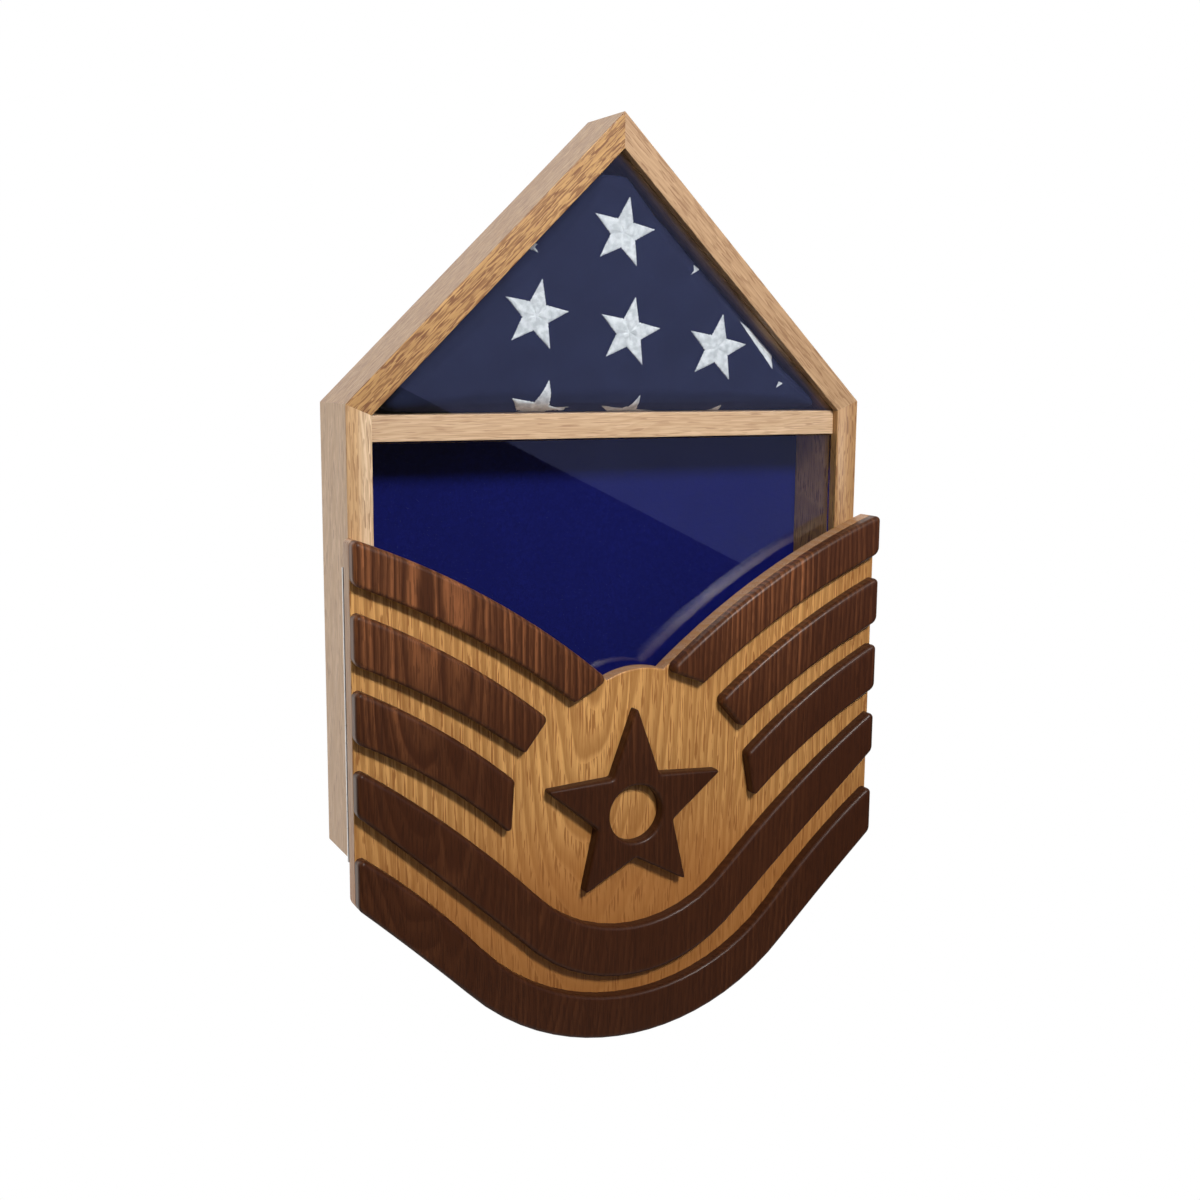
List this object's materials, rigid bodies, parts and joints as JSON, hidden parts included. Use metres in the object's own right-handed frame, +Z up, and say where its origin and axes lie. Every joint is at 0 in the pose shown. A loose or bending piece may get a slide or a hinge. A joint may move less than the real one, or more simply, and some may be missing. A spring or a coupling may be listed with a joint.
{
  "type": "wall-hung folded flag display case",
  "caption": "Wall-hung hardwood case with a gabled bay for a folded flag and, below it, a glazed display bay behind a side-hinged door faced with curved bars and a star.",
  "frame": {"origin": "on the plane of the case's back edges, midway between the two keyholes it hangs by", "axes": "+X to the right as seen from the front, +Y into the wall, +Z up; the door faces -Y"},
  "size_m": [0.4462, 0.0936, 0.7087],
  "materials": {
    "oak": "clear satin lacquer on red oak",
    "walnut": "clear satin lacquer on walnut",
    "acrylic": "clear polished sheet",
    "flag_cloth": "woven cloth with embroidered white stars",
    "felt": "royal blue felt",
    "hardboard": "smooth brown hardboard",
    "steel": "zinc plated",
    "brass": "brass plated, satin",
    "rubber": "matt",
    "magnet": "nickel plated"
  },
  "bodies": {
    "case": {"roof_board_left": "oak", "roof_board_right": "oak", "side_board_left": "oak", "side_board_right": "oak", "bottom_board": "oak", "shelf": "oak", "upper_pane": "acrylic", "folded_flag": "flag_cloth", "back_panel": "hardboard", "felt_lining": "felt", "keyhole_hangers": "steel", "hanger_screws": "steel", "wall_bumpers": "rubber", "turn_button_screws": "brass", "hinge_case_leaf": "steel", "hinge_pin": "steel", "hinge_case_screws": "steel", "catch_magnets": "magnet"},
    "door": {"door_panel": "oak", "bar_1_left": "walnut", "bar_1_right": "walnut", "bar_2_left": "walnut", "bar_2_right": "walnut", "bar_3_left": "walnut", "bar_3_right": "walnut", "bar_4": "walnut", "bar_5": "walnut", "star": "walnut", "lower_pane": "acrylic", "pane_rail_left": "oak", "pane_rail_right": "oak", "pane_rail_bottom": "oak", "pane_screws": "steel", "hinge_door_leaf": "steel", "hinge_door_screws": "steel", "catch_strikes": "steel", "strike_screws": "steel"},
    "turn_button_1": {"turn_button_1": "steel"},
    "turn_button_2": {"turn_button_2": "steel"},
    "turn_button_3": {"turn_button_3": "steel"},
    "turn_button_4": {"turn_button_4": "steel"},
    "turn_button_5": {"turn_button_5": "steel"},
    "turn_button_6": {"turn_button_6": "steel"}
  },
  "joints": [
    {"name": "door_hinge", "type": "hinge", "parent": "case", "child": "door", "pos_m": [-0.2186, -0.0632, -0.1816], "axis": [0, 0, -1], "range_deg": [0, 175]},
    {"name": "turn_button_1_swivel", "type": "hinge", "parent": "case", "child": "turn_button_1", "pos_m": [-0.108, 0.0009, 0.13619], "axis": [0, 1, 0], "continuous": true},
    {"name": "turn_button_2_swivel", "type": "hinge", "parent": "case", "child": "turn_button_2", "pos_m": [0.108, 0.0009, 0.13619], "axis": [0, 1, 0], "continuous": true},
    {"name": "turn_button_3_swivel", "type": "hinge", "parent": "case", "child": "turn_button_3", "pos_m": [-0.209, 0.0009, -0.11], "axis": [0, 1, 0], "continuous": true},
    {"name": "turn_button_4_swivel", "type": "hinge", "parent": "case", "child": "turn_button_4", "pos_m": [0.209, 0.0009, -0.11], "axis": [0, 1, 0], "continuous": true},
    {"name": "turn_button_5_swivel", "type": "hinge", "parent": "case", "child": "turn_button_5", "pos_m": [-0.11, 0.0009, -0.284], "axis": [0, 1, 0], "continuous": true},
    {"name": "turn_button_6_swivel", "type": "hinge", "parent": "case", "child": "turn_button_6", "pos_m": [0.11, 0.0009, -0.284], "axis": [0, 1, 0], "continuous": true}
  ]
}
